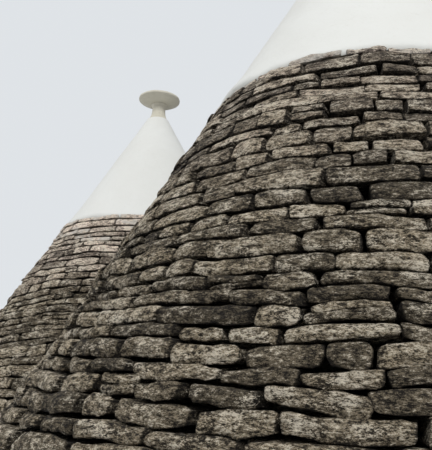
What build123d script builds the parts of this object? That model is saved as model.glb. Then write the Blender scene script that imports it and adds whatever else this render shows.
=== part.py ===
"""A trullo house: two joined dry stone cones over round walls, with plastered tips and finials."""

from build123d import *
import math
import os

os.makedirs("parts", exist_ok=True)

# Plan of the house, in millimetres. +X runs from the left cone to the right one, the front is -Y.
AXIS_GAP = 3500.0
DRUM_SIDES = 32
ROOM_SIDE = 2500.0
ROOM_CHAMFER = 350.0

# Heights of the floor and of the walls.
FLOOR_TOP = 150.0
WALL_TOP = 2150.0

# Doorway in the front of the right room, with two plank leaves folded back against its jambs.
DOOR_WIDTH = 900.0
DOOR_HEIGHT = 1720.0
LINTEL_BEARING = 150.0
LEAF_WIDTH = 445.0
LEAF_THICK = 45.0
LEAF_SETBACK = 180.0
LEAF_GAP = 6.0
BATTEN_THICK = 22.0
BATTEN_WIDTH = 110.0
BATTEN_HEIGHTS = (330.0, 1390.0)

# Arched passage through the wall between the rooms.
PASSAGE_WIDTH = 900.0
ARCH_SPRING = 1350.0
ARCH_SHOULDER = 200.0

# Small windows: the clear opening, its stone sill, the timber frame and the pane.
WINDOW_WIDTH = 440.0
WINDOW_HEIGHT = 560.0
WINDOW_BASE = 1080.0
WINDOW_SETBACK = 200.0
FRAME_FACE = 50.0
FRAME_DEPTH = 60.0
PANE_THICK = 6.0
SILL_THICK = 70.0
SILL_PROUD = 60.0
SILL_DEPTH = 300.0
SILL_EAR = 80.0

# Roof of stone slab courses, thicker at the eaves than under the plastered tip.
COURSES = 27
EAVES_COURSE = 84.0
TOP_COURSE = 64.0
CAP_RADIUS = 900.0
ROOF_SLOPE = 1.78
EAVES_OVERHANG = 85.0
EAVES_DRIP = 30.0
SLAB_DEPTH = 230.0
STEP_COURSES = 4
RING_SIDES = 24

# False vault under the cone: rings of corbelled stones, dressed flush inside, that close in on an
# eye under one slab. The stones of each ring break joint with the ring below.
VAULT_RADIUS = 1250.0
VAULT_EYE = 250.0
VAULT_STONES = 12
VAULT_JOINT = 6.0
CLOSING_RADIUS = 420.0
CLOSING_THICK = 80.0

# Plastered tip, and its finial: a neck that carries a shallow dish.
CAP_SLOPE = 1.78
CAP_SIDES = 48
PLASTER_THICK = 40.0
NECK_RADIUS = 78.0
NECK_FOOT = 120.0
NECK_FLARE = 55.0
NECK_HEIGHT = 195.0
DISH_RADIUS = 237.0
DISH_DEPTH = 70.0
DISH_BELLY = ((140.0, 14.0), (195.0, 36.0))
DISH_RIM = 18.0
DISH_HOLLOW = 28.0
DISH_EYE = 20.0
FINIAL_SIDES = 32

HALF_GAP = AXIS_GAP / 2
HALF_ROOM = ROOM_SIDE / 2
HALF_DOOR = DOOR_WIDTH / 2
HALF_PASSAGE = PASSAGE_WIDTH / 2
HALF_MIDDLE = HALF_GAP - HALF_ROOM
REACH = 2 * AXIS_GAP
HALF_LINTEL = HALF_DOOR + LINTEL_BEARING
LINTEL_BASE = FLOOR_TOP + DOOR_HEIGHT
ROOF_HEIGHT = COURSES * (EAVES_COURSE + TOP_COURSE) / 2
CAP_BASE = WALL_TOP + ROOF_HEIGHT
CORE_RADIUS = CAP_RADIUS - PLASTER_THICK
NECK_BASE = CAP_BASE + (CAP_RADIUS - NECK_FOOT) * CAP_SLOPE
DISH_BASE = NECK_BASE + NECK_HEIGHT
DISH_TOP = DISH_BASE + DISH_DEPTH + DISH_RIM
STEP_STARTS = sorted({0, *range(COURSES % STEP_COURSES, COURSES + 1, STEP_COURSES)})
BAND_STARTS = {"lower": 1, "middle": STEP_STARTS[-5], "upper": STEP_STARTS[-3]}
SIDES = {"left": -1, "right": 1}


def write(shape, label):
    """Names a finished piece and writes its file."""
    shape.label = label
    export_step(shape, f"parts/{label}.step")


def course_base(index):
    """Height of a course's bed: the courses thin evenly from the eaves to the tip."""
    thinning = (EAVES_COURSE - TOP_COURSE) / (COURSES - 1)
    return WALL_TOP + index * EAVES_COURSE - thinning * index * (index - 1) / 2


def roof_radius(height):
    """Outside of a cone at a height: a straight slope down from the plastered tip."""
    return CAP_RADIUS + (CAP_BASE - height) / ROOF_SLOPE


DRUM_RADIUS = roof_radius(WALL_TOP) - EAVES_OVERHANG


def backing_radius(index):
    """Inner ends of a course's slabs: the vault behind them steps in every few courses."""
    step_end = min(start for start in STEP_STARTS if start > index)
    return roof_radius(course_base(step_end)) - SLAB_DEPTH


def vault_radius(height):
    """Inside of the false vault at a height."""
    return VAULT_RADIUS - (VAULT_RADIUS - VAULT_EYE) * (height - WALL_TOP) / ROOF_HEIGHT


def stacked(side, profile, sides, rotation=0.0):
    """Flat-sided solid around a room's axis, through the radius given at each height. A step that
    widens upwards is made wide end down and turned over."""
    with BuildPart() as stack:
        for (base, radius), (top, top_radius) in zip(profile, profile[1:]):
            narrowing = abs(radius - top_radius) * math.cos(math.pi / sides)
            with BuildPart(mode=Mode.PRIVATE) as step:
                with BuildSketch(Plane.XY.offset(base)):
                    with Locations((side * HALF_GAP, 0)):
                        RegularPolygon(max(radius, top_radius), sides, rotation=rotation)
                extrude(amount=top - base, taper=math.degrees(math.atan2(narrowing, top - base)))
                if radius < top_radius:
                    mirror(about=Plane.XY.offset((base + top) / 2), mode=Mode.REPLACE)
            add(step.part)
    return stack.part


def facing(side, wall):
    """Vertical plane through a room's axis that looks out through one of its walls."""
    out = {"front": (0, -1, 0), "side": (side, 0, 0)}[wall]
    middle = WINDOW_BASE + WINDOW_HEIGHT / 2
    return Plane(origin=(side * HALF_GAP, 0, middle), x_dir=(-out[1], out[0], 0), z_dir=out)


with BuildSketch() as room:
    Rectangle(ROOM_SIDE, ROOM_SIDE)
    chamfer(room.vertices(), ROOM_CHAMFER)

with BuildSketch() as drums:
    with Locations((-HALF_GAP, 0), (HALF_GAP, 0)):
        RegularPolygon(DRUM_RADIUS, DRUM_SIDES)

# Plans of the pieces of round wall, seen from a room's axis with +X away from the other room.
# Diagonals through the chamfered corners of the room part its front, side and back.
FRONT_INNER = [(-HALF_ROOM, 0), (-HALF_DOOR, 0), (-HALF_DOOR, -REACH), (-HALF_ROOM, -REACH)]
FRONT_OUTER = [(HALF_DOOR, -HALF_DOOR), (HALF_DOOR, -REACH), (REACH, -REACH)]
FRONT_WHOLE = [(-HALF_ROOM, 0), (0, 0), (REACH, -REACH), (-HALF_ROOM, -REACH)]
SIDE_WALL = [(0, 0), (REACH, -REACH), (REACH, REACH)]
BACK_WALL = [(-HALF_ROOM, 0), (0, 0), (REACH, REACH), (-HALF_ROOM, REACH)]
THRESHOLD = [(-HALF_DOOR, 0), (HALF_DOOR, 0), (HALF_DOOR, -REACH), (-HALF_DOOR, -REACH)]
LINTEL = [(-HALF_LINTEL, 0), (HALF_LINTEL, 0), (HALF_LINTEL, -REACH), (-HALF_LINTEL, -REACH)]


def round_wall(label, side, outline, base=0.0, top=WALL_TOP, window=None, beside_door=False):
    """A piece of round wall in one outline, with its window or its seat for the lintel cut out."""
    corners = [(side * x, y) for x, y in outline]
    with BuildPart() as wall:
        with BuildSketch(Plane.XY.offset(base)):
            with Locations((side * HALF_GAP, 0)):
                RegularPolygon(DRUM_RADIUS, DRUM_SIDES)
                add(room.sketch, mode=Mode.SUBTRACT)
                Polygon(*corners, align=None, mode=Mode.INTERSECT)
        extrude(amount=top - base)
        if beside_door:
            with BuildSketch(Plane.XY.offset(LINTEL_BASE)):
                with Locations((side * HALF_GAP, 0)):
                    Polygon(*LINTEL, align=None)
            extrude(amount=WALL_TOP - LINTEL_BASE, mode=Mode.SUBTRACT)
        if window:
            with BuildSketch(facing(side, window)):
                Rectangle(WINDOW_WIDTH, WINDOW_HEIGHT)
            extrude(amount=REACH, mode=Mode.SUBTRACT)
            with BuildSketch(facing(side, window).offset(DRUM_RADIUS - SILL_DEPTH)):
                with Locations((0, -WINDOW_HEIGHT / 2)):
                    Rectangle(
                        WINDOW_WIDTH + 2 * SILL_EAR,
                        SILL_THICK,
                        align=(Align.CENTER, Align.MAX),
                    )
            extrude(amount=REACH, mode=Mode.SUBTRACT)
    write(wall.part, label)


def window(label, side, wall):
    """Sill, frame and pane of a small window, set back from the wall's face."""
    outside = facing(side, wall).offset(DRUM_RADIUS)
    with BuildPart() as sill:
        with BuildSketch(outside.offset(-SILL_DEPTH)):
            with Locations((0, -WINDOW_HEIGHT / 2)):
                Rectangle(
                    WINDOW_WIDTH + 2 * SILL_EAR,
                    SILL_THICK,
                    align=(Align.CENTER, Align.MAX),
                )
        extrude(amount=SILL_DEPTH + SILL_PROUD)
    write(sill.part, f"{label}_sill")

    with BuildPart() as frame:
        with BuildSketch(outside.offset(-WINDOW_SETBACK)):
            Rectangle(WINDOW_WIDTH, WINDOW_HEIGHT)
            offset(amount=-FRAME_FACE, mode=Mode.SUBTRACT)
        extrude(amount=-FRAME_DEPTH)
    write(frame.part, f"{label}_frame")

    with BuildPart() as pane:
        with BuildSketch(outside.offset(-WINDOW_SETBACK - (FRAME_DEPTH - PANE_THICK) / 2)):
            Rectangle(WINDOW_WIDTH - 2 * FRAME_FACE, WINDOW_HEIGHT - 2 * FRAME_FACE)
        extrude(amount=-PANE_THICK)
    write(pane.part, f"{label}_pane")


# Walls: the right room's are split beside its doorway, and each room has one small window.
right = SIDES["right"]
left = SIDES["left"]
round_wall("right_front_wall_inner", right, FRONT_INNER, beside_door=True)
round_wall("right_front_wall_outer", right, FRONT_OUTER, beside_door=True)
round_wall("right_side_wall", right, SIDE_WALL, window="side")
round_wall("right_back_wall", right, BACK_WALL)
round_wall("left_front_wall", left, FRONT_WHOLE, window="front")
round_wall("left_side_wall", left, SIDE_WALL)
round_wall("left_back_wall", left, BACK_WALL)
round_wall("door_lintel", right, LINTEL, base=LINTEL_BASE)
round_wall("door_threshold", right, THRESHOLD, top=FLOOR_TOP)
window("right_side_window", right, "side")
window("left_front_window", left, "front")

# Floors of stone flags. Each runs to the middle of the passage between the rooms.
for name, side in SIDES.items():
    with BuildPart() as floor:
        with BuildSketch():
            with Locations((side * HALF_GAP, 0)):
                add(room.sketch)
            with Locations((side * HALF_MIDDLE / 2, 0)):
                Rectangle(HALF_MIDDLE, PASSAGE_WIDTH)
        extrude(amount=FLOOR_TOP)
    write(floor.part, f"{name}_floor")

# The wall between the rooms: a pier at the front and one at the back, notched for the arch.
for name, turn in {"front": -1, "back": 1}.items():
    with BuildPart() as pier:
        with BuildSketch():
            add(drums.sketch)
            with Locations((0, turn * (HALF_PASSAGE + REACH / 2))):
                Rectangle(2 * HALF_MIDDLE, REACH, mode=Mode.INTERSECT)
        extrude(amount=WALL_TOP)
        with BuildSketch(Plane.XY.offset(ARCH_SPRING)):
            Rectangle(2 * HALF_MIDDLE, PASSAGE_WIDTH + 2 * ARCH_SHOULDER)
        extrude(amount=WALL_TOP - ARCH_SPRING, mode=Mode.SUBTRACT)
    write(pier.part, f"{name}_pier")

with BuildPart() as arch:
    with BuildSketch(Plane.YZ.offset(-HALF_MIDDLE)):
        with Locations((0, ARCH_SPRING)):
            Rectangle(
                PASSAGE_WIDTH + 2 * ARCH_SHOULDER,
                WALL_TOP - ARCH_SPRING,
                align=(Align.CENTER, Align.MIN),
            )
            Circle(HALF_PASSAGE, mode=Mode.SUBTRACT)
    extrude(amount=2 * HALF_MIDDLE)
write(arch.part, "passage_arch")

# Door leaves, folded back flat against the jambs, with their battens towards the doorway.
for name, turn in SIDES.items():
    jamb = HALF_GAP + turn * HALF_DOOR
    leaf_middle = -DRUM_RADIUS + LEAF_SETBACK + LEAF_WIDTH / 2
    with BuildPart() as leaf:
        with BuildSketch(Plane.XY.offset(FLOOR_TOP)):
            with Locations((jamb - turn * LEAF_THICK / 2, leaf_middle)):
                Rectangle(LEAF_THICK, LEAF_WIDTH)
        extrude(amount=DOOR_HEIGHT - LEAF_GAP)
        for batten_height in BATTEN_HEIGHTS:
            with BuildSketch(Plane.XY.offset(FLOOR_TOP + batten_height - BATTEN_WIDTH / 2)):
                with Locations((jamb - turn * (LEAF_THICK + BATTEN_THICK / 2), leaf_middle)):
                    Rectangle(BATTEN_THICK, LEAF_WIDTH)
            extrude(amount=BATTEN_WIDTH)
    write(leaf.part, f"door_leaf_{name}")


def slab_courses(label, side, indices, drip=0.0):
    """Courses of roof slabs, straight-faced, each with its corners over the faces below it."""
    with BuildPart() as courses:
        for index in indices:
            base = course_base(index)
            stagger = 180 / RING_SIDES * (index % 2)
            with BuildSketch(Plane.XY.offset(base)):
                with Locations((side * HALF_GAP, 0)):
                    RegularPolygon(roof_radius(base) + drip, RING_SIDES, rotation=stagger)
                    RegularPolygon(backing_radius(index), RING_SIDES, mode=Mode.SUBTRACT)
                with Locations((side * REACH / 2, 0)):
                    Rectangle(REACH, REACH, mode=Mode.INTERSECT)
            extrude(amount=course_base(index + 1) - base)
    write(courses.part, label)


# Roof: the eaves course, then three bands of courses on each cone. The cones meet in a valley on
# the plane between the rooms, where the courses of both are cut back to each other.
for name, side in SIDES.items():
    slab_courses(f"{name}_eaves_course", side, [0], EAVES_DRIP)
    slab_courses(f"{name}_lower_courses", side, range(BAND_STARTS["lower"], BAND_STARTS["middle"]))
    slab_courses(f"{name}_middle_courses", side, range(BAND_STARTS["middle"], BAND_STARTS["upper"]))
    slab_courses(f"{name}_upper_courses", side, range(BAND_STARTS["upper"], COURSES))

    stones = []
    for level, (first, last) in enumerate(zip(STEP_STARTS, STEP_STARTS[1:])):
        bed = course_base(first)
        head = course_base(last)
        stagger = 180 / VAULT_STONES * (level % 2)
        inside = [(bed, vault_radius(bed)), (head, vault_radius(head))]
        with BuildPart() as ring:
            with BuildSketch(Plane.XY.offset(bed)):
                with Locations((side * HALF_GAP, 0)):
                    RegularPolygon(backing_radius(first), RING_SIDES)
                    with PolarLocations(0, VAULT_STONES, start_angle=stagger):
                        Rectangle(
                            REACH,
                            VAULT_JOINT,
                            align=(Align.MIN, Align.CENTER),
                            mode=Mode.SUBTRACT,
                        )
                with Locations((side * REACH / 2, 0)):
                    Rectangle(REACH, REACH, mode=Mode.INTERSECT)
            extrude(amount=head - bed)
            add(stacked(side, inside, VAULT_STONES, stagger), mode=Mode.SUBTRACT)
        stones += ring.solids()
    write(Compound(stones), f"{name}_vault")

    closing_slab = [(CAP_BASE, CLOSING_RADIUS), (CAP_BASE + CLOSING_THICK, CLOSING_RADIUS)]
    write(stacked(side, closing_slab, VAULT_STONES), f"{name}_closing_slab")

# Tips: a solid cone of stone under a coat of plaster, then the neck and the dish of the finial.
for name, side in SIDES.items():
    core_profile = [(CAP_BASE, CORE_RADIUS), (NECK_BASE, NECK_FOOT - PLASTER_THICK)]
    with BuildPart() as tip:
        add(stacked(side, core_profile, CAP_SIDES))
        add(stacked(side, closing_slab, VAULT_STONES), mode=Mode.SUBTRACT)
    write(tip.part, f"{name}_tip_core")

    with BuildPart() as plaster:
        add(stacked(side, [(CAP_BASE, CAP_RADIUS), (NECK_BASE, NECK_FOOT)], CAP_SIDES))
        add(stacked(side, core_profile, CAP_SIDES), mode=Mode.SUBTRACT)
    write(plaster.part, f"{name}_plaster_tip")

    neck = [
        (NECK_BASE, NECK_FOOT),
        (NECK_BASE + NECK_FLARE / 2, (NECK_FOOT + NECK_RADIUS) / 2),
        (NECK_BASE + 3 * NECK_FLARE / 2, NECK_RADIUS),
        (DISH_BASE, NECK_RADIUS),
    ]
    write(stacked(side, neck, FINIAL_SIDES), f"{name}_finial_neck")

    dish = [
        (DISH_BASE, NECK_RADIUS),
        *[(DISH_BASE + rise, radius) for radius, rise in DISH_BELLY],
        (DISH_BASE + DISH_DEPTH, DISH_RADIUS),
        (DISH_TOP, DISH_RADIUS),
    ]
    with BuildPart() as bowl:
        add(stacked(side, dish, FINIAL_SIDES))
        hollow = [(DISH_TOP - DISH_HOLLOW, DISH_EYE), (DISH_TOP, DISH_RADIUS)]
        add(stacked(side, hollow, FINIAL_SIDES), mode=Mode.SUBTRACT)
    write(bowl.part, f"{name}_finial_dish")
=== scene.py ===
"""The finish of a trullo house: stone slab roofs, limewashed walls, plastered tips and finials."""

import math
import random

import bmesh
import bpy
import numpy as np
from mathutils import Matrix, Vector, noise


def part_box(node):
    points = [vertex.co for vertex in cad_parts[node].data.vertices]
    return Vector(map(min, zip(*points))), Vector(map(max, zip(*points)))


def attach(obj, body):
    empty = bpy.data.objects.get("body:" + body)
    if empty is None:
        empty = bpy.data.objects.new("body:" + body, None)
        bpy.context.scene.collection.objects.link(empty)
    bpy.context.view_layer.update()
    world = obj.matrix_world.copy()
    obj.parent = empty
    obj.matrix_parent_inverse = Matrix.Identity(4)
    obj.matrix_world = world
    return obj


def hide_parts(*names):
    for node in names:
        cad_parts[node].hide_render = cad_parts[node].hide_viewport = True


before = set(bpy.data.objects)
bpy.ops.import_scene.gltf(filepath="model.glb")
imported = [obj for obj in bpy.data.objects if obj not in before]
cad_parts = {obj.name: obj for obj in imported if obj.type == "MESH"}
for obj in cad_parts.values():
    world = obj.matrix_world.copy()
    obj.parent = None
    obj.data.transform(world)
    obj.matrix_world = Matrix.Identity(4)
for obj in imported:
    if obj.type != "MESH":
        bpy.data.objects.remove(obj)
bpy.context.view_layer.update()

# Camera. It stands off the near corner of the right cone, a little above its eaves, and looks up
# along both roofs at the far tip. The picture is 450 pixels high, and the lens is set by that.
PICTURE_HEIGHT = 450
FOCAL_PIXELS = 612
SENSOR = 36.0
EYE = Vector((4.397, -2.389, 2.531))
HEADING = math.atan2(0.46268, -0.88653)
PITCH = 0.266
ROLL = 0.044


def placed(name, data):
    """Puts new data into the scene as an object."""
    made = bpy.data.objects.new(name, data)
    bpy.context.scene.collection.objects.link(made)
    return made


level_look = Vector((math.cos(HEADING), math.sin(HEADING), 0))
look = level_look * math.cos(PITCH) + Vector((0, 0, math.sin(PITCH)))
level_right = Vector((math.sin(HEADING), -math.cos(HEADING), 0))
level_up = level_right.cross(look)
right_edge = level_right * math.cos(ROLL) + level_up * math.sin(ROLL)
up_edge = level_up * math.cos(ROLL) - level_right * math.sin(ROLL)

camera_data = bpy.data.cameras.new("view")
camera_data.sensor_width = SENSOR
camera_data.lens = FOCAL_PIXELS * SENSOR / PICTURE_HEIGHT
camera = placed("view", camera_data)
turn = camera.matrix_world.to_3x3()
turn.col[0], turn.col[1], turn.col[2] = right_edge, up_edge, -look
camera.matrix_world = turn.to_4x4()
camera.location = EYE
bpy.context.scene.camera = camera

# Light. A pale room with one broad lamp high over the front and a weaker one to the side, as under
# a bright hazy sky. The floor is a pale plane that keeps the house's shadow.
FLOOR_SIZE = 60.0
FLOOR_COLOUR = (0.70, 0.70, 0.69)
ROOM_LIGHT = (0.33, 0.335, 0.345)
BACKDROP = (0.74, 0.77, 0.80)
bpy.context.scene.view_settings.view_transform = "Standard"


class Wiring:
    """Short words for wiring a tree of nodes. A value is a plain one or another node's socket."""

    def __init__(self, tree):
        self.nodes = tree.nodes
        self.links = tree.links

    def plug(self, value, socket):
        if isinstance(value, bpy.types.NodeSocket):
            self.links.new(value, socket)
        elif isinstance(value, tuple) and len(value) == 3 and len(socket.default_value) == 4:
            socket.default_value = (*value, 1)
        else:
            socket.default_value = value

    def node(self, kind, inputs=(), **settings):
        """A node with its settings made, and its inputs given in their order or by name."""
        made = self.nodes.new(kind)
        for setting, value in settings.items():
            setattr(made, setting, value)
        keyed = inputs if isinstance(inputs, dict) else dict(enumerate(inputs))
        for key, value in keyed.items():
            self.plug(value, made.inputs[key])
        return made

    def number(self, operation, *values):
        return self.node("ShaderNodeMath", values, operation=operation).outputs[0]

    def total(self, *weighted):
        """The sum of values, each times its weight."""
        summed, *others = [self.number("MULTIPLY", value, weight) for value, weight in weighted]
        for other in others:
            summed = self.number("ADD", summed, other)
        return summed

    def vector(self, operation, *values):
        return self.node("ShaderNodeVectorMath", values, operation=operation).outputs["Vector"]

    def scaled(self, direction, factor):
        inputs = {0: direction, "Scale": factor}
        return self.node("ShaderNodeVectorMath", inputs, operation="SCALE").outputs["Vector"]

    def mix(self, factor, first, second):
        """A blend of two colours."""
        return self.node("ShaderNodeMix", {0: factor, 6: first, 7: second}, data_type="RGBA").outputs[2]

    def ranged(self, value, low, high, to_low=0.0, to_high=1.0):
        """A value moved from one range to another, and held inside it."""
        return self.node("ShaderNodeMapRange", (value, low, high, to_low, to_high)).outputs[0]

    def spots(self, point, scale, low, high, detail=2.0, rough=0.5, distortion=0.0):
        """A noise cut to a mask between two of its values."""
        inputs = {"Vector": point, "Scale": scale, "Detail": detail, "Roughness": rough}
        texture = self.node("ShaderNodeTexNoise", inputs)
        self.plug(distortion, texture.inputs["Distortion"])
        return self.ranged(texture.outputs["Fac"], low, high)

    def point(self):
        return self.node("ShaderNodeTexCoord").outputs["Object"]

    def attribute(self, label, output="Fac"):
        return self.node("ShaderNodeAttribute", attribute_name=label).outputs[output]

    def bump(self, height, distance, strength=1.0):
        inputs = {"Height": height, "Distance": distance, "Strength": strength}
        return self.node("ShaderNodeBump", inputs).outputs["Normal"]


def lamp(name, place, target, size, watts):
    """A square soft lamp at a place, turned to a target."""
    data = bpy.data.lights.new(name, "AREA")
    data.size = size
    data.energy = watts
    made = placed(name, data)
    made.location = place
    made.rotation_euler = (Vector(target) - Vector(place)).to_track_quat("-Z", "Y").to_euler()


def new_finish(name):
    """A new material, with its wiring and the inputs of its surface."""
    finish = bpy.data.materials.new(name)
    finish.use_nodes = True
    return finish, Wiring(finish.node_tree), finish.node_tree.nodes["Principled BSDF"].inputs


world = bpy.data.worlds.new("pale_room")
bpy.context.scene.world = world
world.use_nodes = True
w = Wiring(world.node_tree)
rays = w.node("ShaderNodeLightPath").outputs
seen = w.number("MAXIMUM", rays["Is Camera Ray"], rays["Is Glossy Ray"])
seen = w.number("MAXIMUM", seen, rays["Is Transmission Ray"])
w.plug(w.mix(seen, ROOM_LIGHT, BACKDROP), w.nodes["Background"].inputs["Color"])

lamp("high_lamp", (20.0, -10.0, 24.0), (0.5, 0, 3), 9.0, 5600)
lamp("side_lamp", (-8.0, -9.0, 8.0), (0, 0, 3), 6.0, 260)

floor_finish, w, surface = new_finish("pale_floor")
w.plug(FLOOR_COLOUR, surface["Base Color"])
w.plug(0.9, surface["Roughness"])
edge = FLOOR_SIZE / 2
floor_corners = [(-edge, -edge, 0), (edge, -edge, 0), (edge, edge, 0), (-edge, edge, 0)]
floor_mesh = bpy.data.meshes.new("floor")
floor_mesh.from_pydata(floor_corners, [], [(0, 1, 2, 3)])
floor_mesh.materials.append(floor_finish)
placed("floor", floor_mesh)

# Roof slabs. Rough limestone slabs, split thin and laid dry in level courses round both cones.
# Where the cones meet, the courses turn the valley on short stones. Each slab tips outwards a
# little to shed rain, and its weathered edges are rounded.
CONES = (("left", -1), ("right", 1))
CAP_RADIUS = 0.900
ROOF_SLOPE = 1.78
EAVES_DRIP = 0.028
VALLEY_TURN = 0.20
VALLEY_HALF = 0.34
VALLEY_SLABS = (0.09, 0.17)
COURSE_HEIGHTS = (0.052, 0.100)
LOWER_SLABS = (0.15, 0.46)
UPPER_SLABS = (0.13, 0.36)
SHORT_FAVOUR = 1.2
JOINT_AHEAD = 0.08
SLAB_DEPTH = 0.25
SLAB_GAP = 0.016
GAP_SPREAD = (0.4, 1.8)
SLAB_LEAN = 0.04
SLAB_BANDS = {
    "eaves_course": {"batter": 0.20, "rounding": 0.044, "lump_depth": 0.060},
    "lower_courses": {"batter": 0.34, "rounding": 0.042, "lump_depth": 0.060},
    "middle_courses": {"batter": 0.48, "rounding": 0.032, "lump_depth": 0.050},
    "upper_courses": {"batter": 0.56, "rounding": 0.020, "lump_depth": 0.040},
}
CHIPS_TO_LUMPS = 0.55
VALLEY_LIFT = 0.26
LIFT_REACH = 1.15
LIFT_FALL = 1.5
LIFT_PEAK = 0.28
LIFT_END = 0.95
LINE_STEP = 0.01
LINE_ROUNDS = 6
BED_SLACK = 0.01
LEVEL_ROUNDING = 0.6
UPRIGHT_ROUNDING = 0.42
# Rounding takes this share of its radius, 2 less the root of 2, off two opposite edges together.
EDGE_LOSS = 0.586
END_POWER = 2.5
LOWER_SHADE = (-0.36, -0.5)
UPPER_SHADE = (0.36, 0.76)
END_SHADE = (0.46, 0.5)
SHARP = 0.9
SLAB_CUTS_ALONG = (-0.5, -0.46, -0.39, -0.29, -0.18, -0.06, 0.06, 0.18, 0.29, 0.39, 0.46, 0.5)
SLAB_CUTS_UP = (-0.5, -0.36, -0.12, 0.12, 0.36, 0.5)

closing_low, closing_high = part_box("right_closing_slab")
half_gap = (closing_low.x + closing_high.x) / 2
WALL_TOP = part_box("right_eaves_course")[0].z
CAP_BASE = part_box("right_upper_courses")[1].z


def roof_radius(height):
    """Outside of a cone at a height."""
    return CAP_RADIUS + (CAP_BASE - height) / ROOF_SLOPE


def share_up(height):
    """How far up the slabs a height is: 0 at the eaves and 1 under the tip."""
    return (height - WALL_TOP) / (CAP_BASE - WALL_TOP)


def climb(x, height):
    """How far the courses at a height climb towards the valley."""
    share = share_up(height)
    rising = share / LIFT_PEAK
    falling = max(LIFT_END - share, 0) / (LIFT_END - LIFT_PEAK)
    return VALLEY_LIFT * np.exp(-((np.abs(x) / LIFT_REACH) ** LIFT_FALL)) * min(rising, falling)


def course_lines(height, drip, valley_turn, climbing=climb):
    """Outlines of a course in plan, counter-clockwise: one line round both cones where they meet,
    or else one round each."""
    angles = np.arange(-math.pi, math.pi, LINE_STEP / 2)
    radius = np.full(len(angles), roof_radius(height) + drip)
    for _ in range(LINE_ROUNDS):
        x = half_gap + radius * np.cos(angles)
        radius = roof_radius(height + climbing(x, height)) + drip
    circle = np.stack([x, radius * np.sin(angles)], 1)

    def reach(x):
        """Distance of the valley's turning centre from the plane through both tips."""
        turning = roof_radius(height + climbing(x, height)) + drip + valley_turn
        return np.sqrt(np.maximum(turning**2 - half_gap**2, 0))

    if reach(0.0) <= valley_turn:
        return [circle, -circle]
    right_arc = circle[np.abs(angles) < math.pi - np.arctan2(reach(x), half_gap)]
    lean = math.atan2(reach(valley_turn), half_gap)
    steps = int((math.pi - 2 * lean) * valley_turn / LINE_STEP)
    inner = np.linspace(-lean, lean - math.pi, steps + 2)[1:-1]
    x = valley_turn * np.cos(inner)
    back_turn = np.stack([x, reach(x) + valley_turn * np.sin(inner)], 1)
    return [np.concatenate([right_arc, back_turn, -right_arc, -back_turn])]


def stone_runs(line, along, bed, head, openings, chance):
    """The stretches of a course that no opening takes, as distances along its line."""
    total = along[-1]
    shut = np.ones(len(line), bool)
    for low, high in openings:
        if low[2] < head - BED_SLACK and high[2] > bed + BED_SLACK:
            shut &= ((line < low[:2]) | (line > high[:2])).any(1)
    if shut.all():
        start = chance.uniform(0, total)
        return [(start, start + total)]
    edges = np.flatnonzero(shut != np.roll(shut, 1))
    if not shut[edges[0]]:
        edges = np.roll(edges, -1)
    runs = [(along[begin], along[end]) for begin, end in zip(edges[::2], edges[1::2])]
    return [(begin, end if end > begin else end + total) for begin, end in runs]


def lay_stones(line, bed, head, lengths, valley_lengths, gap, depth, chance, openings=()):
    """Lays one course of stones along a closed line, up to the edges of any openings, and gives
    each stone's place, turn and size."""
    closed = np.vstack([line, line[:1]])
    along = np.concatenate([[0], np.cumsum(np.linalg.norm(np.diff(closed, axis=0), axis=1))])

    def on_line(distance):
        distance = distance % along[-1]
        return np.array([np.interp(distance, along, closed[:, axis]) for axis in range(2)])

    stones = []
    for begin, end in stone_runs(line, along, bed, head, openings, chance):
        joints = [begin]
        while joints[-1] < end:
            x, y = on_line(joints[-1] + JOINT_AHEAD)
            low, high = valley_lengths if abs(x) < VALLEY_HALF else lengths
            joints.append(joints[-1] + low + (high - low) * chance.random() ** SHORT_FAVOUR)
        joints = begin + (np.array(joints) - begin) * (end - begin) / (joints[-1] - begin)
        for first, last in zip(joints, joints[1:]):
            near, middle, far = on_line(first), on_line((first + last) / 2), on_line(last)
            chord = far - near
            length = float(np.hypot(*chord))
            outward = np.array([chord[1], -chord[0]]) / length
            sag = float((middle - (near + far) / 2) @ outward)
            stones.append(
                {
                    "place": (float(middle[0]), float(middle[1]), (bed + head) / 2),
                    "turn": math.atan2(chord[1], chord[0]),
                    "bend": 8 * sag / length**2,
                    "size": (length - gap * chance.uniform(*GAP_SPREAD), depth, head - bed),
                    "outward": outward,
                }
            )
    return stones


def stone_cloud(name, stones):
    """A cloud of points that carry their stones' sizes and finish."""
    mesh = bpy.data.meshes.new(name)
    mesh.from_pydata([stone["place"] for stone in stones], [], [])
    for key in ("turn", "bend", "lean", "tone", "clean", "grain", "size", "ends"):
        wide = key in ("size", "ends")
        layer = mesh.attributes.new(key, "FLOAT_VECTOR" if wide else "FLOAT", "POINT")
        values = np.array([stone[key] for stone in stones], dtype=np.float32).ravel()
        layer.data.foreach_set("vector" if wide else "value", values)
    return placed(name, mesh)


def shaped_piece(name, shaped):
    """Turns a shape's faces outwards and puts it into the scene."""
    bmesh.ops.recalc_face_normals(shaped, faces=shaped.faces)
    mesh = bpy.data.meshes.new(name)
    shaped.to_mesh(mesh)
    shaped.free()
    return placed(name, mesh)


def smoothed(piece, sharp):
    """Shades a piece smooth, up to the angle at which an edge stays sharp."""
    piece.data.shade_smooth()
    piece.data.set_sharp_from_angle(angle=sharp)


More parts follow.
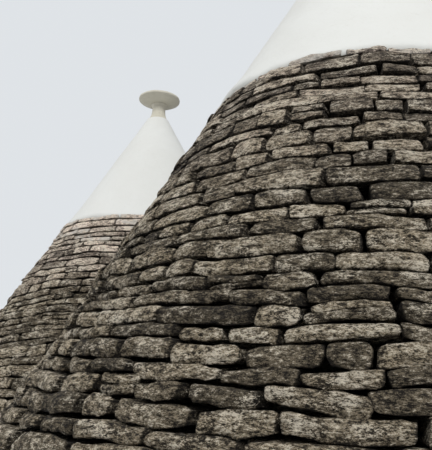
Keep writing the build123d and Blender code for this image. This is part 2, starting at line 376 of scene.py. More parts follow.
def stone_blank(name, along, up):
    """A block one unit across whose face is cut finely, and whose hidden sides are plain."""
    shaped = bmesh.new()
    face = [[shaped.verts.new((x, -0.5, z)) for x in along] for z in up]
    back = [shaped.verts.new((x, 0.5, z)) for x, z in ((-0.5, -0.5), (0.5, -0.5), (0.5, 0.5), (-0.5, 0.5))]
    for lower, upper in zip(face, face[1:]):
        for corners in zip(lower, lower[1:], upper[1:], upper):
            shaped.faces.new(corners)
    shaped.faces.new(back[::-1])
    shaped.faces.new([*face[0][::-1], back[0], back[1]])
    shaped.faces.new([*face[-1], back[2], back[3]])
    shaped.faces.new([row[0] for row in face] + [back[3], back[0]])
    shaped.faces.new([row[-1] for row in face[::-1]] + [back[1], back[2]])
    return shaped_piece(name, shaped)


def node_group(name, kind, inputs, outputs):
    """An empty group of nodes with named sockets."""
    tree = bpy.data.node_groups.new(name, kind)
    for label, value_kind, value in inputs:
        socket = tree.interface.new_socket(label, in_out="INPUT", socket_type="NodeSocket" + value_kind)
        if value is not None:
            socket.default_value = value
    for label, value_kind in outputs:
        tree.interface.new_socket(label, in_out="OUTPUT", socket_type="NodeSocket" + value_kind)
    return tree, tree.nodes.new("NodeGroupInput").outputs, tree.nodes.new("NodeGroupOutput").inputs


def stone_tree():
    """Geometry Nodes that put a worn stone on each point: a blank is cut to the stone's size, its
    edges are rounded and its ends thinned, its face is made lumpy and chipped, and it is bent to
    its course. The whole course then waves a little, so that its joints are never true."""
    tree, given, result = node_group(
        "laid_stones",
        "GeometryNodeTree",
        (
            ("Geometry", "Geometry", None),
            ("Blank", "Object", None),
            ("Rounding", "Float", 0.02),
            ("Batter", "Float", 0.2),
            ("Lump Scale", "Float", 5.0),
            ("Lump Depth", "Float", 0.03),
            ("Chip Scale", "Float", 22.0),
            ("Chip Depth", "Float", 0.012),
            ("Wave Scale", "Float", 3.2),
            ("Wave Depth", "Float", 0.05),
            ("Seed", "Float", 3.0),
            ("Material", "Material", None),
        ),
        (("Geometry", "Geometry"),),
    )
    tree.is_modifier = True
    w = Wiring(tree)
    number, vector, scaled = w.number, w.vector, w.scaled

    def parts(direction):
        return w.node("ShaderNodeSeparateXYZ", [direction]).outputs

    def joined(x, y, z):
        return w.node("ShaderNodeCombineXYZ", [x, y, z]).outputs[0]

    def attribute(label, kind="FLOAT"):
        return w.node("GeometryNodeInputNamedAttribute", [label], data_type=kind).outputs["Attribute"]

    def stored(geometry, label, value, kind="FLOAT_VECTOR"):
        inputs = {"Geometry": geometry, "Name": label, "Value": value}
        return w.node("GeometryNodeStoreNamedAttribute", inputs, data_type=kind).outputs["Geometry"]

    def roughened(point, scale, depth, spread):
        """A push in each direction that changes from spot to spot."""
        texture = w.node("ShaderNodeTexNoise", {"Vector": point, "Scale": scale, "Detail": 1.0})
        centred = vector("SUBTRACT", texture.outputs["Color"], (0.5, 0.5, 0.5))
        return scaled(vector("MULTIPLY", centred, spread), depth)

    def risen(value, foot, top):
        """0 at the foot of a stretch and 1 at its top."""
        return number("DIVIDE", number("SUBTRACT", value, foot), top - foot)

    blank = w.node("GeometryNodeObjectInfo", [given["Blank"]]).outputs["Geometry"]
    position = w.node("GeometryNodeInputPosition").outputs[0]
    points = stored(given["Geometry"], "place", position)
    on_points = {"Points": points, "Instance": stored(blank, "block", position)}
    instances = w.node("GeometryNodeInstanceOnPoints", on_points).outputs["Instances"]
    real = w.node("GeometryNodeRealizeInstances", [instances]).outputs["Geometry"]

    block = attribute("block", "FLOAT_VECTOR")
    size = attribute("size", "FLOAT_VECTOR")
    cut_block = vector("MULTIPLY", block, size)
    upright = number("MINIMUM", given["Rounding"], number("MULTIPLY", parts(size)[2], UPRIGHT_ROUNDING))
    endways = number("MULTIPLY", given["Rounding"], LEVEL_ROUNDING)
    rounding = joined(endways, given["Rounding"], upright)
    core = vector("SUBTRACT", scaled(size, 0.5), rounding)
    inside = vector("MAXIMUM", vector("MINIMUM", cut_block, core), scaled(core, -1.0))
    corner = vector("NORMALIZE", vector("DIVIDE", vector("SUBTRACT", cut_block, inside), rounding))
    rounded = vector("ADD", inside, vector("MULTIPLY", corner, rounding))
    lost = vector("MULTIPLY", rounding, (EDGE_LOSS, 0.0, EDGE_LOSS))
    worn = vector("MULTIPLY", rounded, vector("DIVIDE", size, vector("SUBTRACT", size, lost)))

    grain = attribute("grain")
    apart = joined(number("MULTIPLY", grain, 91.0), number("MULTIPLY", grain, 57.0), given["Seed"])
    own = vector("ADD", worn, apart)
    lumps = roughened(own, given["Lump Scale"], given["Lump Depth"], (1.0, 1.0, 0.5))
    chips = roughened(own, given["Chip Scale"], given["Chip Depth"], (1.0, 1.0, 0.8))
    x, y, z = parts(vector("ADD", vector("ADD", worn, lumps), chips))

    block_x, _, block_z = parts(block)
    ends = parts(attribute("ends", "FLOAT_VECTOR"))
    outer = number("MULTIPLY", block_x, 2.0)
    left_end = number("POWER", number("MAXIMUM", number("MULTIPLY", outer, -1.0), 0.0), END_POWER)
    right_end = number("POWER", number("MAXIMUM", outer, 0.0), END_POWER)
    thinned = w.total((left_end, ends[0]), (right_end, ends[1]))
    z = number("MULTIPLY", z, number("SUBTRACT", 1.0, thinned))
    z = number("ADD", z, number("MULTIPLY", x, ends[2]))
    bent = number("MULTIPLY", number("MULTIPLY", attribute("bend"), 0.5), number("MULTIPLY", x, x))
    deep = number("ADD", y, number("MULTIPLY", parts(size)[1], 0.5))
    battered = number("ADD", number("ADD", deep, bent), number("MULTIPLY", z, given["Batter"]))
    leaning = number("ADD", z, number("MULTIPLY", deep, attribute("lean")))
    turning = {"Vector": joined(x, battered, leaning), "Angle": attribute("turn")}
    swung = w.node("ShaderNodeVectorRotate", turning, rotation_type="Z_AXIS").outputs[0]
    set_down = vector("ADD", attribute("place", "FLOAT_VECTOR"), swung)
    wave = roughened(set_down, given["Wave Scale"], given["Wave Depth"], (0.25, 0.25, 1.0))

    # The edge layer marks each stone's top, bottom and ends, where the limestone finish paints shade into
    # the joints.
    bed_shade = number("MAXIMUM", risen(block_z, *LOWER_SHADE), risen(block_z, *UPPER_SHADE))
    end_shade = risen(number("ABSOLUTE", block_x), *END_SHADE)
    edge = number("MAXIMUM", number("MAXIMUM", bed_shade, end_shade), 0.0)
    marked = stored(real, "edge", number("MINIMUM", edge, 1.0), "FLOAT")
    setting = {"Geometry": marked, "Position": vector("ADD", set_down, wave)}
    moved = w.node("GeometryNodeSetPosition", setting).outputs["Geometry"]
    coat = {"Geometry": moved, "Material": given["Material"]}
    w.plug(w.node("GeometryNodeSetMaterial", coat).outputs["Geometry"], result[0])
    return tree


laid_stones = stone_tree()
slab_blank = stone_blank("slab_blank", SLAB_CUTS_ALONG, SLAB_CUTS_UP)


def laid(name, stones, finish, blank, **values):
    """Makes a band of courses or a wall's face of stones as one plain mesh."""
    cloud = stone_cloud(name + "_points", stones)
    worker = cloud.modifiers.new("stones", "NODES")
    worker.node_group = laid_stones
    sockets = laid_stones.interface.items_tree
    socket_of = {item.name: item.identifier for item in sockets if item.in_out == "INPUT"}
    worker[socket_of["Material"]] = finish
    worker[socket_of["Blank"]] = blank
    for label, value in values.items():
        worker[socket_of[label.replace("_", " ").title()]] = value
    depsgraph = bpy.context.evaluated_depsgraph_get()
    mesh = bpy.data.meshes.new_from_object(cloud.evaluated_get(depsgraph), depsgraph=depsgraph)
    for key in ("place", "block", "size", "turn", "bend", "lean", "ends"):
        if key in mesh.attributes:
            mesh.attributes.remove(mesh.attributes[key])
    cloud.modifiers.clear()
    bpy.data.objects.remove(cloud)
    mesh.name = name
    piece = placed(name, mesh)
    smoothed(piece, SHARP)
    return piece


# Lichened limestone. Rough grey-brown stone whose pits are black, partly with lichen and partly
# with painted shade, and whose high points are pale, partly from wear and partly with painted
# highlights. Its colour is also darker, as painted shade, in the hollows of its bump and towards
# each stone's edges. It is freshest near the tips, where whitewash has run down over it.
BEDDING = (0.8, 0.8, 2.0)
PATCH_SWING = 0.10
EDGE_SHADE_SINK = 0.12
TONE_SWING = (0.52, 1.48)
ROCK_MOTTLE_AND_SHADE = (0.45, 2.05)
EDGE_SHADE_DARK = 0.38
WEAR_AND_HIGHLIGHT_FROM = 0.62
WEAR_AND_HIGHLIGHT_FULL = 0.74
LICHEN_AND_SHADE_FROM = 0.45
LICHEN_AND_SHADE_FULL = 0.37

lichened_limestone, given, out = node_group(
    "lichened_limestone",
    "ShaderNodeTree",
    (
        ("Vector", "Vector", None),
        ("Tone", "Float", 0.5),
        ("Clean", "Float", 0.0),
        ("Edge", "Float", 0.0),
        ("Pits", "Color", (0.006, 0.004, 0.003, 1)),
        ("Dark", "Color", (0.125, 0.102, 0.068, 1)),
        ("Mid", "Color", (0.235, 0.192, 0.130, 1)),
        ("Fresh", "Color", (0.82, 0.67, 0.56, 1)),
        ("Worn", "Color", (0.95, 0.86, 0.70, 1)),
        ("Wash", "Color", (0.80, 0.75, 0.67, 1)),
    ),
    (("Color", "Color"), ("Roughness", "Float"), ("Height", "Float")),
)
w = Wiring(lichened_limestone)
place, tone, clean, edge = given["Vector"], given["Tone"], given["Clean"], given["Edge"]
grainy = w.vector("MULTIPLY", place, BEDDING)
lumps = w.spots(grainy, 13.0, 0.32, 0.68, detail=3.0, rough=0.6, distortion=0.4)
rock = w.spots(grainy, 40.0, 0.35, 0.65, detail=6.0, rough=0.80, distortion=0.3)
grit = w.spots(grainy, 150.0, 0.36, 0.64, detail=3.0, rough=0.8)
patch = w.spots(place, 8.0, 0.36, 0.64, detail=3.0)
relief = w.total((rock, 0.54), (grit, 0.38), (lumps, 0.08))
relief = w.number("ADD", relief, w.ranged(patch, 0, 1, -PATCH_SWING, PATCH_SWING))
# Painted shade: near each stone's edges the relief sinks, so more of it turns to black pits and less to
# pale points.
relief = w.number("SUBTRACT", relief, w.number("MULTIPLY", edge, EDGE_SHADE_SINK))

stone = w.mix(w.spots(place, 4.5, 0.38, 0.62, detail=3.0), given["Dark"], given["Mid"])
stone = w.mix(w.ranged(tone, 0, 1, 0.35, 1.0), stone, given["Mid"])
stone = w.mix(clean, stone, given["Fresh"])
# Each stone's own tone, times the rock noise that also raises the bump: partly the stone's own mottling,
# partly painted shade in the bump's hollows and painted light on its high points.
tone_and_shade = w.number("MULTIPLY", w.ranged(tone, 0, 1, *TONE_SWING), w.ranged(rock, 0, 1, *ROCK_MOTTLE_AND_SHADE))
# Painted shade: each stone darkens towards its top, bottom and ends.
tone_and_shade = w.number("MULTIPLY", tone_and_shade, w.ranged(edge, 0.1, 1, 1.0, EDGE_SHADE_DARK))
stone = w.scaled(stone, tone_and_shade)

lit = w.number("ADD", w.ranged(tone, 0, 1, -0.06, 0.06), w.number("MULTIPLY", clean, 0.11))
pale_patch = w.spots(grainy, 9.0, 0.50, 0.66, detail=4.0)
lit = w.number("ADD", lit, w.number("MULTIPLY", pale_patch, 0.15))
# Pale high points: partly worn stone, partly painted highlights on the tops of the relief.
high = w.ranged(w.number("ADD", relief, lit), WEAR_AND_HIGHLIGHT_FROM, WEAR_AND_HIGHLIGHT_FULL)
stone = w.mix(w.number("MULTIPLY", high, 0.90), stone, given["Worn"])
# Black pits: partly lichen, partly painted shade in the hollows of the relief.
lichen_and_shade = w.ranged(relief, LICHEN_AND_SHADE_FROM, LICHEN_AND_SHADE_FULL)
stone = w.mix(w.number("MULTIPLY", lichen_and_shade, w.ranged(clean, 0, 1, 0.90, 0.60)), stone, given["Pits"])
wash_runs = w.spots(place, 9.0, 0.44, 0.56, detail=4.0)
washed = w.number("MULTIPLY", w.ranged(clean, 0.80, 1.0), wash_runs)
stone = w.mix(w.number("MULTIPLY", washed, 0.85), stone, given["Wash"])
w.plug(stone, out["Color"])
w.plug(w.ranged(high, 0, 1, 0.95, 0.82), out["Roughness"])
w.plug(w.total((lumps, 0.030), (rock, 0.008)), out["Height"])


def stone_finish(name, bump=1.0, tone=None, **colours):
    """A material of lichened limestone in colours of its own. Without a tone, each of its stones
    brings one."""
    finish, w, surface = new_finish(name)
    inputs = {label.title(): colour for label, colour in colours.items()}
    inputs["Vector"] = w.point()
    inputs["Tone"] = w.attribute("tone") if tone is None else tone
    inputs["Clean"] = w.attribute("clean")
    inputs["Edge"] = w.attribute("edge")
    limestone = w.node("ShaderNodeGroup", inputs, node_tree=lichened_limestone).outputs
    w.plug(limestone["Color"], surface["Base Color"])
    w.plug(limestone["Roughness"], surface["Roughness"])
    w.plug(w.bump(limestone["Height"], bump), surface["Normal"])
    w.plug(0.25, surface["Specular IOR Level"])
    return finish


# Slab courses. Rings of limestone slabs laid dry, each on the ring below, with stones that get
# shorter and thinner towards the tips. Each slab is a little out of line and level, some are laid
# as thin pairs, and those near the tips are the cleanest.
OUT_OF_LINE = (-0.014, 0.0042)
OUT_OF_TRUE = 0.022
TRUE_SCALE = (1.1, 1.1, 0.8)
TURN_SPREAD = 0.018
LEAN_SPREAD = 0.02
RISE_SPREAD = 0.020
SPLIT_SHARE = 0.07
SPLIT_CUT = (0.40, 0.60)
CLEAN_FROM = 0.50
CLEAN_SPAN = 0.36
CLEAN_MOST = {"left": 0.9, "right": 0.20}
WASH_FROM = 0.93
WASH_SPAN = 0.04
FILL_AT_EAVES = 0.97
FILL_LOSS = 0.20
FAR_FILL_LOSS = 0.04
FAR_SIDE = 0.5
VALLEY_ROOM = 1.8
END_THIN = 0.38
END_THIN_LOSS = 0.22

roof_finish = stone_finish("lichened_slabs")
chance = random.Random(7)
beds = [0.0]
while beds[-1] < CAP_BASE - WALL_TOP:
    beds.append(beds[-1] + chance.uniform(*COURSE_HEIGHTS))
beds = [WALL_TOP + bed * (CAP_BASE - WALL_TOP) / beds[-1] for bed in beds]
slabs = {(side, band): [] for side, _ in CONES for band in SLAB_BANDS}
band_base = {(side, band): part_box(f"{side}_{band}")[0].z for side, band in slabs}


def wobble(x, y, z):
    """How far a course is out of true at a point."""
    share = min(max(share_up(z), 0), 1)
    fading = min(1, 6 * share, 8 * (1 - share))
    return OUT_OF_TRUE * fading * noise.noise(Vector((x, y, z)) * Vector(TRUE_SCALE))


def weather_slab(stone, side, bed, head):
    """Sets a slab out of line and level, and gives it its own lean, tone, thickness and ends."""
    share = share_up(bed)
    x, y, z = stone["place"]
    length = stone["size"][0]
    inset = chance.uniform(*OUT_OF_LINE) - wobble(x, y, z) / ROOF_SLOPE
    low_z = bed + climb(x, bed) + wobble(x, y, bed)
    high_z = head + climb(x, head) + wobble(x, y, head)
    outward = stone["outward"]
    stone["place"] = (x + outward[0] * inset, y + outward[1] * inset, (low_z + high_z) / 2)
    half = length / 2 * math.cos(stone["turn"])
    rise = (climb(x + half, bed) - climb(x - half, bed)) / length
    in_valley = abs(x) < VALLEY_TURN * 0.9
    deep = min(SLAB_DEPTH, VALLEY_ROOM * abs(y) + 0.01) if in_valley else SLAB_DEPTH
    stone["turn"] += chance.gauss(0, TURN_SPREAD)
    stone["lean"] = SLAB_LEAN + chance.gauss(0, LEAN_SPREAD)
    stone["tone"] = chance.random()
    stone["grain"] = chance.random()
    clean = max(0.0, (share - CLEAN_FROM) / CLEAN_SPAN) * CLEAN_MOST[side]
    whitewashed = max(0.0, (share - WASH_FROM) / WASH_SPAN) * chance.uniform(0.2, 1.0)
    stone["clean"] = min(1.0, clean * chance.uniform(0.5, 1.25) + whitewashed)
    fill = FILL_AT_EAVES - FILL_LOSS * share**0.7 - (FAR_FILL_LOSS if x < FAR_SIDE else 0)
    deep *= chance.uniform(0.9, 1.1)
    stone["size"] = (length, deep, (high_z - low_z) * fill * chance.uniform(0.95, 1.05))
    thin = END_THIN - END_THIN_LOSS * share
    left_thin = thin * chance.random() ** 2
    right_thin = thin * chance.random() ** 2
    stone["ends"] = (left_thin, right_thin, rise + chance.gauss(0, RISE_SPREAD))


def split_slab(stone, cut):
    """Two thin slabs, one on the other, in the place of one."""
    length, depth, height = stone["size"]
    x, y, z = stone["place"]
    pair = []
    for part, offset in ((cut, (cut - 1) / 2), (1 - cut, cut / 2)):
        thin_one = dict(stone)
        thin_one["size"] = (length * chance.uniform(0.9, 1.0), depth, height * part)
        thin_one["place"] = (x, y, z + offset * height)
        thin_one["grain"] = chance.random()
        thin_one["tone"] = chance.random()
        pair.append(thin_one)
    return pair


for index, (bed, head) in enumerate(zip(beds, beds[1:])):
    share = share_up(bed)
    lengths = [low + (high - low) * share for low, high in zip(LOWER_SLABS, UPPER_SLABS)]
    for line in course_lines(bed, EAVES_DRIP if index == 0 else 0, VALLEY_TURN):
        for stone in lay_stones(line, bed, head, lengths, VALLEY_SLABS, SLAB_GAP, SLAB_DEPTH, chance):
            side = "right" if stone["place"][0] > 0 else "left"
            band = [band for band in SLAB_BANDS if (bed + head) / 2 > band_base[side, band]][-1]
            weather_slab(stone, side, bed, head)
            split = chance.random() < SPLIT_SHARE
            cut = chance.uniform(*SPLIT_CUT)
            slabs[side, band] += split_slab(stone, cut) if split and index > 0 else [stone]
for (side, band), stones in slabs.items():
    piece = laid(
        f"{side}_{band}_slabs",
        stones,
        roof_finish,
        slab_blank,
        **SLAB_BANDS[band],
        lump_scale=5.0,
        chip_scale=17.0,
        chip_depth=SLAB_BANDS[band]["lump_depth"] * CHIPS_TO_LUMPS,
    )
    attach(piece, "root")
    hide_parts(f"{side}_{band}")

# Plastered tips. Each cone ends in a solid cone of stone under a coat of lime plaster, trowelled by
# hand and whitewashed, whose ragged skirt laps over the top course of slabs.
TIP_SLOPE = 1.78
TIP_WALL = 0.035
TIP_CROWN = 0.10
TIP_POLE = 0.02
SKIRT_DROP = 0.030
SKIRT_LAP = 0.016
SKIRT_FADE = 14
TIP_SIDES = 144
TIP_RINGS = 56
TROWEL_MARKS = ((2.5, 0.007), (8.0, 0.0035))
RAGGED_EDGE = ((3.0, 0.020), (11.0, 0.010))
RAGGED_REACH = 0.06
TURNED_SHARP = 1.0

limed_plaster, given, out = node_group(
    "limed_plaster",
    "ShaderNodeTree",
    (
        ("Vector", "Vector", None),
        ("Lime", "Color", (0.80, 0.81, 0.78, 1)),
        ("Stain", "Color", (0.62, 0.60, 0.54, 1)),
        ("Stain Share", "Float", 0.35),
    ),
    (("Color", "Color"), ("Roughness", "Float"), ("Height", "Float")),
)
w = Wiring(limed_plaster)
cloud = w.spots(given["Vector"], 2.2, 0.35, 0.75, detail=4.0, rough=0.6)
speck = w.spots(given["Vector"], 34.0, 0.58, 0.72, detail=4.0, rough=0.65)
mask = w.number("MULTIPLY", w.total((cloud, 0.6), (speck, 0.4)), given["Stain Share"])
w.plug(w.mix(mask, given["Lime"], given["Stain"]), out["Color"])
w.plug(w.ranged(speck, 0, 1, 0.72, 0.85), out["Roughness"])
swells = w.spots(given["Vector"], 7.0, 0.2, 0.8, detail=3.0)
sand = w.spots(given["Vector"], 60.0, 0.2, 0.8, detail=5.0)
w.plug(w.total((swells, 1.0), (sand, 0.3)), out["Height"])


def plaster_finish(name, colour, stain, stain_share, bump):
    """A material of trowelled lime plaster with faint stains."""
    finish, w, surface = new_finish(name)
    inputs = {"Vector": w.point(), "Lime": colour, "Stain": stain, "Stain Share": stain_share}
    plaster = w.node("ShaderNodeGroup", inputs, node_tree=limed_plaster).outputs
    w.plug(plaster["Color"], surface["Base Color"])
    w.plug(plaster["Roughness"], surface["Roughness"])
    w.plug(w.bump(plaster["Height"], bump, 0.6), surface["Normal"])
    w.plug(0.3, surface["Specular IOR Level"])
    return finish


def turned(name, axis_x, rings, sides, uneven):
    """A closed round piece: rings of (radius, height) from one pole round to the other."""
    shaped = bmesh.new()
    loops = []
    for radius, height in rings:
        loop = []
        for step in range(sides):
            angle = 2 * math.pi * step / sides
            place = Vector((radius * math.cos(angle), radius * math.sin(angle), height))
            place = uneven(place, Vector((place.x + axis_x, place.y, place.z)))
            loop.append(shaped.verts.new((place.x + axis_x, place.y, place.z)))
        loops.append(loop)
    for lower, upper in zip(loops, loops[1:]):
        for step in range(sides):
            after = (step + 1) % sides
            shaped.faces.new((lower[step], lower[after], upper[after], upper[step]))
    for loop, turn_over in ((loops[0], True), (loops[-1], False)):
        middle = shaped.verts.new(sum((vert.co for vert in loop), Vector()) / sides)
        for step in range(sides):
            after = (step + 1) % sides
            first, second = (after, step) if turn_over else (step, after)
            shaped.faces.new((loop[first], loop[second], middle))
    piece = shaped_piece(name, shaped)
    smoothed(piece, TURNED_SHARP)
    return piece


def marks_at(spot, marks):
    """The depth of hand marks at a spot, from the scale and depth of each kind."""
    return sum(depth * noise.noise(spot * scale) for scale, depth in marks)


def trowelled(place, spot):
    """Moves a point of the plaster by the trowel's marks, and along the skirt by its ragged edge."""
    ragged = math.exp(-max(place.z - CAP_BASE, 0) / RAGGED_REACH) * marks_at(spot, RAGGED_EDGE)
    swell = marks_at(spot, TROWEL_MARKS) - max(ragged, 0) * 0.2
    flat = Vector((place.x, place.y, 0)).normalized()
    return place + flat * swell + Vector((0, 0, ragged))


tip_finish = plaster_finish("whitewashed_plaster", (0.80, 0.81, 0.78), (0.62, 0.60, 0.54), 0.35, 0.006)
for side, turn_sign in CONES:
    tip_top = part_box(f"{side}_plaster_tip")[1].z
    rise = tip_top - CAP_BASE
    top_radius = CAP_RADIUS - rise / TIP_SLOPE
    skirt_radius = CAP_RADIUS + SKIRT_LAP
    skirt_bottom = CAP_BASE - SKIRT_DROP
    rings = [
        (TIP_POLE, tip_top - TIP_CROWN),
        (CAP_RADIUS - TIP_WALL, CAP_BASE),
        (CAP_RADIUS - TIP_WALL * 0.5, skirt_bottom),
        (skirt_radius - 0.006, skirt_bottom),
        (skirt_radius, CAP_BASE - SKIRT_DROP * 0.6),
    ]
    for step in range(TIP_RINGS + 1):
        share = step / TIP_RINGS
        lap = SKIRT_LAP * math.exp(-share * SKIRT_FADE)
        radius = CAP_RADIUS + lap + (top_radius - CAP_RADIUS) * share
        rings.append((radius, CAP_BASE + 0.004 + (rise - 0.004) * share))
    rings.append((top_radius * 0.5, tip_top + 0.003))
    piece = turned(f"{side}_plastered_tip", half_gap * turn_sign, rings, TIP_SIDES, trowelled)
    piece.data.materials.append(tip_finish)
    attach(piece, "root")
    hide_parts(f"{side}_plaster_tip")

# Finials. A thick neck stands on each tip and carries a shallow dish, modelled in lime mortar over
# stone and left greyer than the whitewash below it.
NECK_WAIST = 0.072
NECK_RINGS = 15
THROAT_FLARE = 0.02
DISH_FOOT = NECK_WAIST + 0.012
DISH_RADIUS = 0.237
DISH_LIP = 0.012
DISH_RIM = 0.032
DISH_HOLLOW = 0.034
DISH_RINGS = 14
DISH_POLE = 0.05
DISH_SUNK = 0.004
FLAT_MARKS = ((9.0, 0.004),)
UPRIGHT_MARKS = ((7.0, 0.003),)
FINIAL_SIDES = 72


def handmade(place, spot):
    """Moves a point of the mortar by the unevenness of hand work."""
    flat = Vector((place.x, place.y, 0)).normalized()
    upright = Vector((0, 0, marks_at(spot, UPRIGHT_MARKS)))
    return place + flat * marks_at(spot, FLAT_MARKS) + upright


finial_finish = plaster_finish("weathered_mortar", (0.70, 0.67, 0.57), (0.40, 0.38, 0.29), 0.7, 0.004)
for side, turn_sign in CONES:
    axis_x = half_gap * turn_sign
    neck_low, neck_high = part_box(f"{side}_finial_neck")
    dish_low, dish_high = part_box(f"{side}_finial_dish")
    neck_foot = (neck_high.x - neck_low.x) / 2
    tall = neck_high.z - neck_low.z
    rings = []
    for share in np.linspace(0, 1, NECK_RINGS):
        flare = math.exp(-share * 4.5) * (neck_foot - NECK_WAIST)
        throat = THROAT_FLARE * math.exp(-(1 - share) * 9)
        rings.append((NECK_WAIST + flare + throat, neck_low.z + tall * float(share)))
    neck = turned(f"{side}_finial_neck_mortar", axis_x, rings, FINIAL_SIDES, handmade)

    deep = dish_high.z - dish_low.z
    rings = [(DISH_POLE, dish_low.z - DISH_SUNK), (DISH_FOOT, dish_low.z + 0.003)]
    for share in np.linspace(0.08, 1, DISH_RINGS):
        radius = DISH_FOOT + (DISH_RADIUS - DISH_FOOT) * float(share) ** 0.85
        rings.append((radius, dish_low.z + 0.003 + (deep - DISH_RIM) * float(share) ** 1.5))
    rings += [
        (DISH_RADIUS + 0.001, dish_high.z - 0.018),
        (DISH_RADIUS - 0.003, dish_high.z - 0.006),
        (DISH_RADIUS - DISH_LIP, dish_high.z - 0.001),
        (DISH_RADIUS - DISH_LIP * 2, dish_high.z - 0.006),
    ]
    for share in np.linspace(0.2, 0.92, 6):
        sunk = DISH_HOLLOW * math.sin(float(share) * math.pi / 2)
        rings.append(((DISH_RADIUS - DISH_LIP * 2) * (1 - float(share)), dish_high.z - 0.006 - sunk))
    dish = turned(f"{side}_finial_dish_mortar", axis_x, rings, FINIAL_SIDES, handmade)
    for piece, node in ((neck, f"{side}_finial_neck"), (dish, f"{side}_finial_dish")):
        piece.data.materials.append(finial_finish)
        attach(piece, "root")
        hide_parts(node)

# Walls. Field stones laid in rough courses round both rooms, with their joints pointed flush and
# many coats of limewash over all, which leave only soft swells of the stones.
WALL_ROWS = ((0.018, 1.08, 6), (1.08, 1.64, 3), (1.64, 1.87, 1), (1.87, 2.15, 2))
ROW_SPREAD = (0.8, 1.25)
WALL_STONES = (0.15, 0.44)
JOINING_STONES = (0.12, 0.25)
WALL_GAP = 0.02
WALL_TURN = 0.06
FACING_DEPTH = 0.09
PROUD = 0.010
FACE_THIN = 0.5
FACE_CUTS_ALONG = (-0.5, -0.42, -0.25, 0.0, 0.25, 0.42, 0.5)
FACE_CUTS_UP = (-0.5, -0.36, 0.0, 0.36, 0.5)
FAR_OUT = 9
FRONT = -1
RIGHT_END = 2.5
WINDOWS = (("left_front_window", 0), ("right_side_window", 1))


def level(x, height):
    """Courses of the wall stay level, so they climb by nothing anywhere."""
    return 0 * x


def coated(node, finish):
    """Gives a piece that is shown as it is a finish of its own."""
    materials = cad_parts[node].data.materials
    materials.clear()
    materials.append(finish)


limewash = plaster_finish("limewashed_rubble", (0.78, 0.775, 0.735), (0.50, 0.46, 0.38), 0.45, 0.012)
drum_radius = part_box("right_side_wall")[1].x - half_gap
threshold_low, threshold_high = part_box("door_threshold")
lintel_low, lintel_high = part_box("door_lintel")
# The boxes of the openings run far out, past the face of the wall.
openings = [
    ((threshold_low.x, -FAR_OUT, 0), (threshold_high.x, FRONT, lintel_low.z)),
    ((lintel_low.x, -FAR_OUT, lintel_low.z), (lintel_high.x, FRONT, WALL_TOP)),
]
for label, across in WINDOWS:
    for low, high in (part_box(f"{label}_frame"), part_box(f"{label}_sill")):
        if across == 0:
            openings.append(((low.x, -FAR_OUT, low.z), (high.x, FRONT, high.z)))
        else:
            openings.append(((RIGHT_END, low.y, low.z), (FAR_OUT, high.y, high.z)))
openings = [(np.array(low), np.array(high)) for low, high in openings]
chance = random.Random(21)
face_blank = stone_blank("face_blank", FACE_CUTS_ALONG, FACE_CUTS_UP)
wall_lines = course_lines(WALL_TOP, drum_radius + PROUD - roof_radius(WALL_TOP), WALL_TURN, level)
wall_stones = {"left": [], "right": []}
for base, top, count in WALL_ROWS:
    cuts = [0.0]
    for _ in range(count):
        cuts.append(cuts[-1] + chance.uniform(*ROW_SPREAD))
    cuts = [base + (top - base) * cut / cuts[-1] for cut in cuts]
    for bed, head in zip(cuts, cuts[1:]):
        for line in wall_lines:
            sizes = (WALL_STONES, JOINING_STONES, WALL_GAP, FACING_DEPTH)
            for stone in lay_stones(line, bed, head, *sizes, chance, openings):
                x, y, z = stone["place"]
                if abs(x) < WALL_TURN:
                    continue
                inset = chance.uniform(-0.008, 0.006)
                stone["place"] = (x + stone["outward"][0] * inset, y + stone["outward"][1] * inset, z)
                stone["lean"] = chance.gauss(0, 0.03)
                stone["tone"] = chance.random()
                stone["grain"] = chance.random()
                stone["clean"] = 0.0
                left_thin = FACE_THIN * chance.random() ** 2
                stone["ends"] = (left_thin, FACE_THIN * chance.random() ** 2, chance.gauss(0, 0.02))
                length, depth, height = stone["size"]
                stone["size"] = (length, depth, height * chance.uniform(0.86, 0.97))
                wall_stones["right" if x > 0 else "left"].append(stone)
for side, stones in wall_stones.items():
    piece = laid(
        f"{side}_wall_facing",
        stones,
        limewash,
        face_blank,
        rounding=0.045,
        batter=0.0,
        lump_scale=4.0,
        lump_depth=0.030,
        chip_scale=14.0,
        chip_depth=0.012,
        seed=8.0,
    )
    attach(piece, "root")
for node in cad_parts:
    if node.endswith(("_wall", "_pier")) or "_wall_" in node or node == "passage_arch":
        coated(node, limewash)

# Doorway and sills. The lintel, the threshold and the window sills are single dressed blocks of
# limestone. Their edges are worn, and the threshold is hollowed by long use.
BLOCK_STEP = 0.09
BLOCK_UNEVEN = 0.004
THRESHOLD_WEAR = 0.014
WEAR_HALF = 0.22
UNEVEN_SCALE = 6.0
UNEVEN_APART = ((0, 0, 0), (31.7, 0, 0), (0, 47.3, 0))
DRESSED_BLOCKS = {
    "door_lintel": 0.020,
    "door_threshold": 0.018,
    "left_front_window_sill": 0.012,
    "right_side_window_sill": 0.012,
}


def knocked(place):
    """A push in each direction that changes from spot to spot, and is the same in every run."""
    spot = place * UNEVEN_SCALE
    return Vector([noise.noise(spot + Vector(apart)) for apart in UNEVEN_APART])


